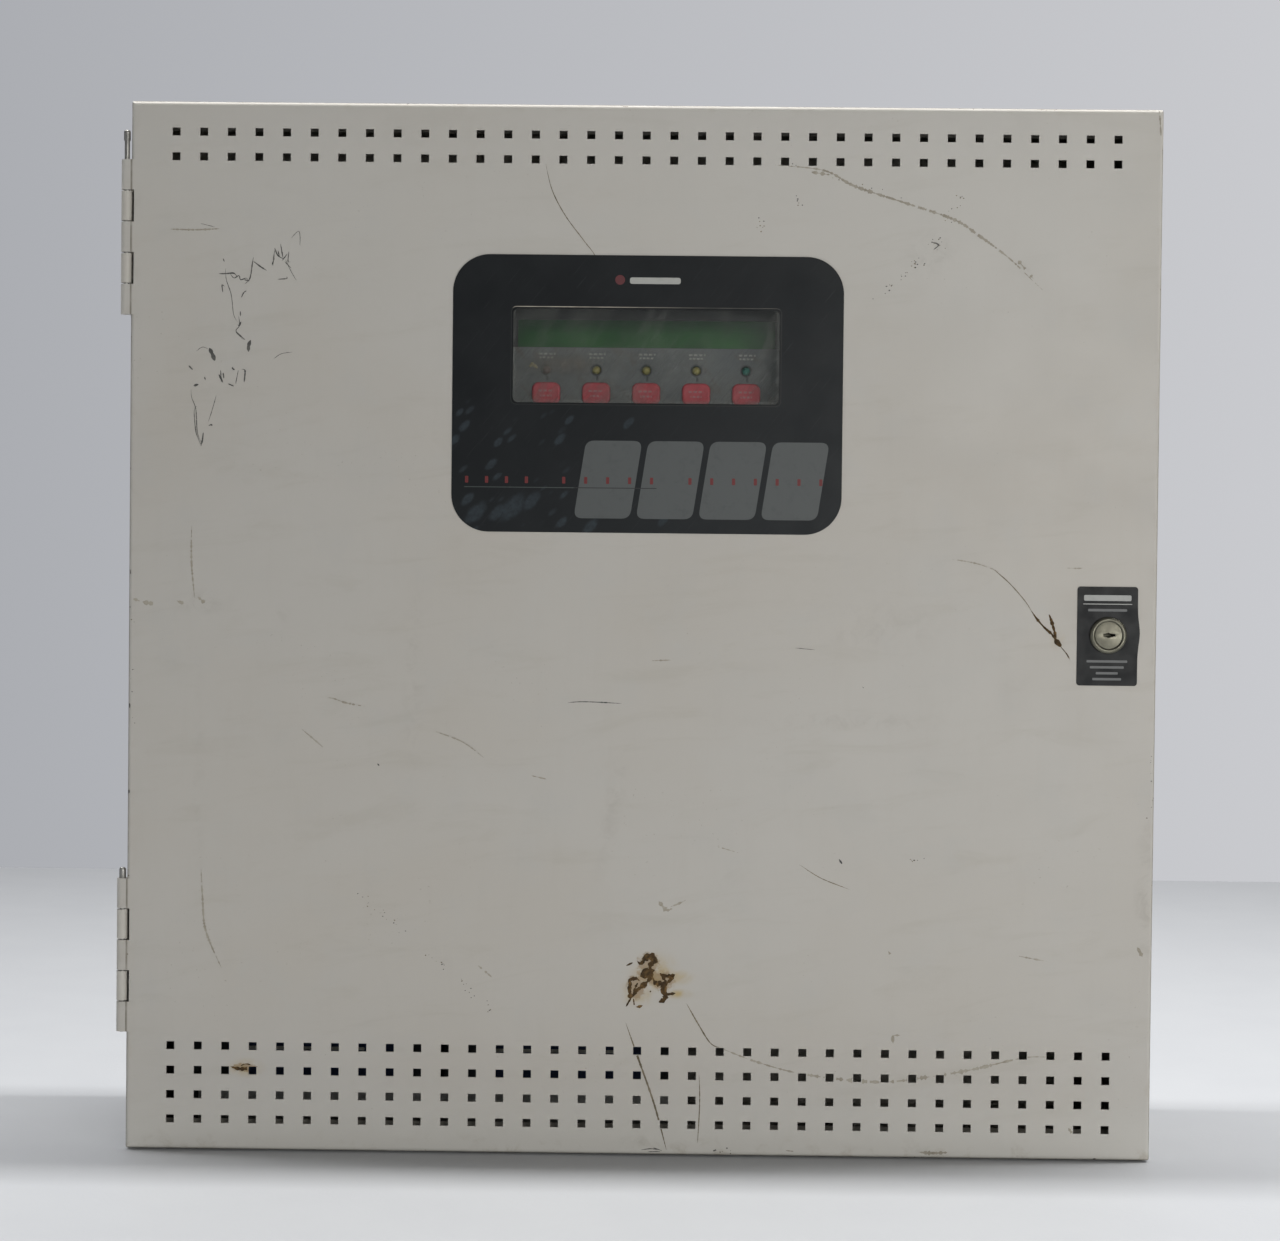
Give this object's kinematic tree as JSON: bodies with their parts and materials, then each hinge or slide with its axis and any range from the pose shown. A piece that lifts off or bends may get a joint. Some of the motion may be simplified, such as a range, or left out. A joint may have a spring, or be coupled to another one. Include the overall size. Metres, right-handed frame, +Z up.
{
  "type": "fire alarm control panel",
  "caption": "Wall-mounted fire alarm control panel: sheet-steel cabinet, vented hinged door with a display window and cam lock, display unit with keys, control board and batteries.",
  "frame": {"origin": "centre of the cabinet's back face, on the wall plane", "axes": "+X to the right seen from the front, +Y into the wall, +Z up"},
  "size_m": [0.6161, 0.1553, 0.624],
  "materials": {
    "cabinet_paint": "satin",
    "door_paint": "satin, scuffed",
    "pin_steel": "worn grey paint on steel",
    "rivet_metal": "satin",
    "label_black": "satin film",
    "window_clear": "clear, hazy from wear",
    "paper_card": "matt",
    "lock_nickel": "dull nickel plate",
    "zinc_steel": "zinc plated",
    "plate_grey": "satin",
    "lcd_black": "satin",
    "lcd_green": "glossy",
    "board_green": "solder mask",
    "brass_hex": "turned",
    "black_plastic": "moulded",
    "lamp_red": "translucent, unlit",
    "lamp_yellow": "translucent, unlit",
    "lamp_green": "translucent, unlit",
    "white_nylon": "moulded",
    "key_red": "satin",
    "terminal_green": "moulded",
    "terminal_brass": "plated",
    "relay_blue": "moulded",
    "capacitor_sleeve": "shrink sleeve",
    "sink_aluminium": "extruded",
    "clip_tin": "tin plated",
    "fuse_glass": "clear with metal ends",
    "ribbon_grey": "ribbed flat cable",
    "core_iron": "varnished laminations",
    "coil_tape": "tape",
    "wire_yellow": "insulation",
    "wire_black": "insulation",
    "wire_red": "insulation",
    "battery_grey": "moulded"
  },
  "bodies": {
    "cabinet": {"back_box": "cabinet_paint", "hinge_leaves": "door_paint", "hinge_rivets": "rivet_metal", "display_bracket": "zinc_steel", "chassis_screws": "zinc_steel", "display_plate": "plate_grey", "lcd_frame": "lcd_black", "lcd_glass": "lcd_green", "display_board": "board_green", "display_spacers": "brass_hex", "key_switches": "black_plastic", "led_alarm": "lamp_red", "leds_trouble": "lamp_yellow", "led_power": "lamp_green", "led_spacers": "white_nylon", "main_board": "board_green", "board_standoffs": "brass_hex", "machine_screws": "zinc_steel", "terminal_blocks": "terminal_green", "terminal_screws": "terminal_brass", "relays": "relay_blue", "chips": "black_plastic", "capacitors": "capacitor_sleeve", "heat_sink": "sink_aluminium", "fuse_clips": "clip_tin", "fuses": "fuse_glass", "sounder": "black_plastic", "ribbon_sockets": "black_plastic", "ribbon_cable": "ribbon_grey", "transformer_core": "core_iron", "transformer_coil": "coil_tape", "transformer_bracket": "zinc_steel", "transformer_leads": "wire_yellow", "mains_terminal": "black_plastic", "mains_cover": "white_nylon", "mains_leads": "wire_black", "ground_stud": "brass_hex", "battery_left": "battery_grey", "battery_right": "battery_grey", "battery_terminals": "clip_tin", "battery_sleeves": "white_nylon", "battery_wires": "wire_red", "battery_stop": "zinc_steel"},
    "door": {"door": "door_paint", "front_overlay": "label_black", "window_lens": "window_clear", "lock_label": "label_black", "inside_label": "paper_card", "lock_housing": "lock_nickel", "lock_nut": "zinc_steel"},
    "lock": {"lock_plug": "lock_nickel", "lock_cam": "zinc_steel", "cam_screw": "zinc_steel"},
    "pin_upper": {"hinge_pin_upper": "pin_steel"},
    "pin_lower": {"hinge_pin_lower": "pin_steel"},
    "key_1": {"key_1": "key_red"},
    "key_2": {"key_2": "key_red"},
    "key_3": {"key_3": "key_red"},
    "key_4": {"key_4": "key_red"},
    "key_5": {"key_5": "key_red"}
  },
  "joints": [
    {"name": "door_hinge", "type": "hinge", "parent": "cabinet", "child": "door", "pos_m": [-0.3079, -0.14922, 0], "axis": [0, 0, -1], "range_deg": [0, 180]},
    {"name": "lock_turn", "type": "hinge", "parent": "door", "child": "lock", "pos_m": [0.276, -0.14, 0.001], "axis": [0, 1, 0], "range_deg": [0, 90]},
    {"name": "pin_upper_lift", "type": "slide", "parent": "cabinet", "child": "pin_upper", "axis": [0, 0, 1], "range_m": [-0.0113, 0.09]},
    {"name": "pin_lower_lift", "type": "slide", "parent": "cabinet", "child": "pin_lower", "axis": [0, 0, 1], "range_m": [0, 0.1]},
    {"name": "key_1_press", "type": "slide", "parent": "cabinet", "child": "key_1", "axis": [0, 1, 0], "range_m": [0, 0.0012], "stiffness_N_per_m": 500, "springref_m": -0.0006},
    {"name": "key_2_press", "type": "slide", "parent": "cabinet", "child": "key_2", "axis": [0, 1, 0], "range_m": [0, 0.0012], "stiffness_N_per_m": 500, "springref_m": -0.0006},
    {"name": "key_3_press", "type": "slide", "parent": "cabinet", "child": "key_3", "axis": [0, 1, 0], "range_m": [0, 0.0012], "stiffness_N_per_m": 500, "springref_m": -0.0006},
    {"name": "key_4_press", "type": "slide", "parent": "cabinet", "child": "key_4", "axis": [0, 1, 0], "range_m": [0, 0.0012], "stiffness_N_per_m": 500, "springref_m": -0.0006},
    {"name": "key_5_press", "type": "slide", "parent": "cabinet", "child": "key_5", "axis": [0, 1, 0], "range_m": [0, 0.0012], "stiffness_N_per_m": 500, "springref_m": -0.0006}
  ]
}
